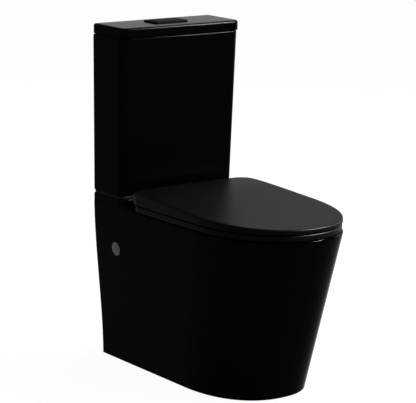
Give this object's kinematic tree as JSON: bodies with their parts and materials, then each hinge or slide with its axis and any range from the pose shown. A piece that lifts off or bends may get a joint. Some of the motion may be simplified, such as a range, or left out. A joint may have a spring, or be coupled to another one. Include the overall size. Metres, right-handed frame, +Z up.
{
  "type": "close coupled toilet",
  "caption": "Black close coupled toilet: shrouded back-to-wall pan, bolted cistern with lift-off lid and dual flush plate, hinged D-shaped seat and lid.",
  "frame": {"origin": "bottom centre of the whole toilet's box, on the floor midway between the wall and the seat's front", "axes": "+Z up, +Y towards the wall, -Y towards the front, +X to the right seen from the front"},
  "size_m": [0.3654, 0.664, 0.8548],
  "materials": {
    "black_ceramic": "satin black glaze",
    "black_duroplast": "satin black moulded duroplast",
    "black_plastic": "satin black moulded",
    "black_rubber": "moulded rubber",
    "white_plastic": "moulded",
    "grey_plastic": "moulded",
    "zinc_steel": "zinc plated",
    "spring_steel": "drawn wire",
    "hinge_steel": "satin stainless",
    "cap_grey": "dark satin chrome"
  },
  "bodies": {
    "pan_and_cistern": {"pan_rim": "black_ceramic", "pan_platform": "black_ceramic", "pan_sump": "black_ceramic", "pan_bowl_left": "black_ceramic", "pan_bowl_right": "black_ceramic", "pan_trapway": "black_ceramic", "pan_spigot": "black_ceramic", "pan_inlet": "black_ceramic", "pan_skirt_front": "black_ceramic", "pan_skirt_left": "black_ceramic", "pan_skirt_right": "black_ceramic", "pan_back": "black_ceramic", "cistern_tank": "black_ceramic", "coupling_gasket": "black_rubber", "rest_pads": "black_rubber", "cistern_bolts": "zinc_steel", "bolt_seals": "black_rubber", "bolt_washers": "zinc_steel", "cistern_wing_nuts": "white_plastic", "flush_valve_body": "white_plastic", "flush_valve_floor_seal": "black_rubber", "flush_valve_nut": "white_plastic", "fill_valve_body": "white_plastic", "fill_valve_seal": "black_rubber", "fill_valve_nut": "white_plastic", "fill_valve_cap": "grey_plastic", "float_arm_pin": "spring_steel", "hinge_posts": "hinge_steel", "hinge_base_plates": "hinge_steel", "hinge_pins": "hinge_steel", "hinge_studs": "zinc_steel", "stud_washers": "black_rubber", "stud_wing_nuts": "white_plastic", "side_caps": "cap_grey", "side_sleeves": "white_plastic", "side_screws": "zinc_steel", "wall_brackets": "zinc_steel"},
    "seat_lid": {"seat_lid": "black_duroplast", "lid_buffers": "black_rubber", "lid_dampers": "grey_plastic"},
    "seat_ring": {"seat_ring": "black_duroplast", "ring_buffers": "black_rubber", "ring_dampers": "grey_plastic"},
    "cistern_lid": {"cistern_lid": "black_ceramic", "button_plate": "black_plastic", "plate_clamp": "white_plastic"},
    "full_button": {"full_flush_button": "black_plastic", "full_push_rod": "zinc_steel", "full_button_spring": "spring_steel"},
    "half_button": {"half_flush_button": "black_plastic", "half_push_rod": "zinc_steel", "half_button_spring": "spring_steel"},
    "full_plunger": {"full_plunger": "grey_plastic"},
    "half_plunger": {"half_plunger": "grey_plastic"},
    "valve_core": {"valve_core": "grey_plastic", "valve_core_seal": "black_rubber"},
    "float": {"float_cup": "white_plastic", "float_rod": "zinc_steel"},
    "float_arm": {"float_arm": "grey_plastic"}
  },
  "joints": [
    {"name": "lid_hinge", "type": "hinge", "parent": "pan_and_cistern", "child": "seat_lid", "pos_m": [0, 0.16, 0.432], "axis": [-1, 0, 0], "range_deg": [0, 93]},
    {"name": "ring_hinge", "type": "hinge", "parent": "pan_and_cistern", "child": "seat_ring", "pos_m": [0, 0.16, 0.432], "axis": [-1, 0, 0], "range_deg": [0, 91]},
    {"name": "cistern_lid_lift", "type": "slide", "parent": "pan_and_cistern", "child": "cistern_lid", "axis": [0, 0, 1], "range_m": [0, 0.16]},
    {"name": "full_button_press", "type": "slide", "parent": "cistern_lid", "child": "full_button", "axis": [0, 0, -1], "range_m": [0, 0.005], "stiffness_N_per_m": 400, "springref_m": -0.004, "deforming": ["full_button_spring"]},
    {"name": "half_button_press", "type": "slide", "parent": "cistern_lid", "child": "half_button", "axis": [0, 0, -1], "range_m": [0, 0.005], "stiffness_N_per_m": 400, "springref_m": -0.004, "deforming": ["half_button_spring"]},
    {"name": "full_plunger_slide", "type": "slide", "parent": "pan_and_cistern", "child": "full_plunger", "axis": [0, 0, -1], "range_m": [0, 0.005]},
    {"name": "half_plunger_slide", "type": "slide", "parent": "pan_and_cistern", "child": "half_plunger", "axis": [0, 0, -1], "range_m": [0, 0.005]},
    {"name": "valve_core_lift", "type": "slide", "parent": "pan_and_cistern", "child": "valve_core", "axis": [0, 0, 1], "range_m": [0, 0.0125]},
    {"name": "float_rise", "type": "slide", "parent": "pan_and_cistern", "child": "float", "axis": [0, 0, 1], "range_m": [0, 0.02]},
    {"name": "float_arm_turn", "type": "hinge", "parent": "pan_and_cistern", "child": "float_arm", "pos_m": [-0.133, 0.272, 0.738], "axis": [0, -1, 0], "range_deg": [0, 28.7]}
  ],
  "couplings": [
    {"joint": "ring_hinge", "follows": "lid_hinge", "ratio": 0.97},
    {"joint": "full_plunger_slide", "follows": "full_button_press", "ratio": 1},
    {"joint": "half_plunger_slide", "follows": "half_button_press", "ratio": 1},
    {"joint": "valve_core_lift", "follows": "full_button_press", "ratio": 2.5},
    {"joint": "float_arm_turn", "follows": "float_rise", "rad_per_m": 25}
  ]
}
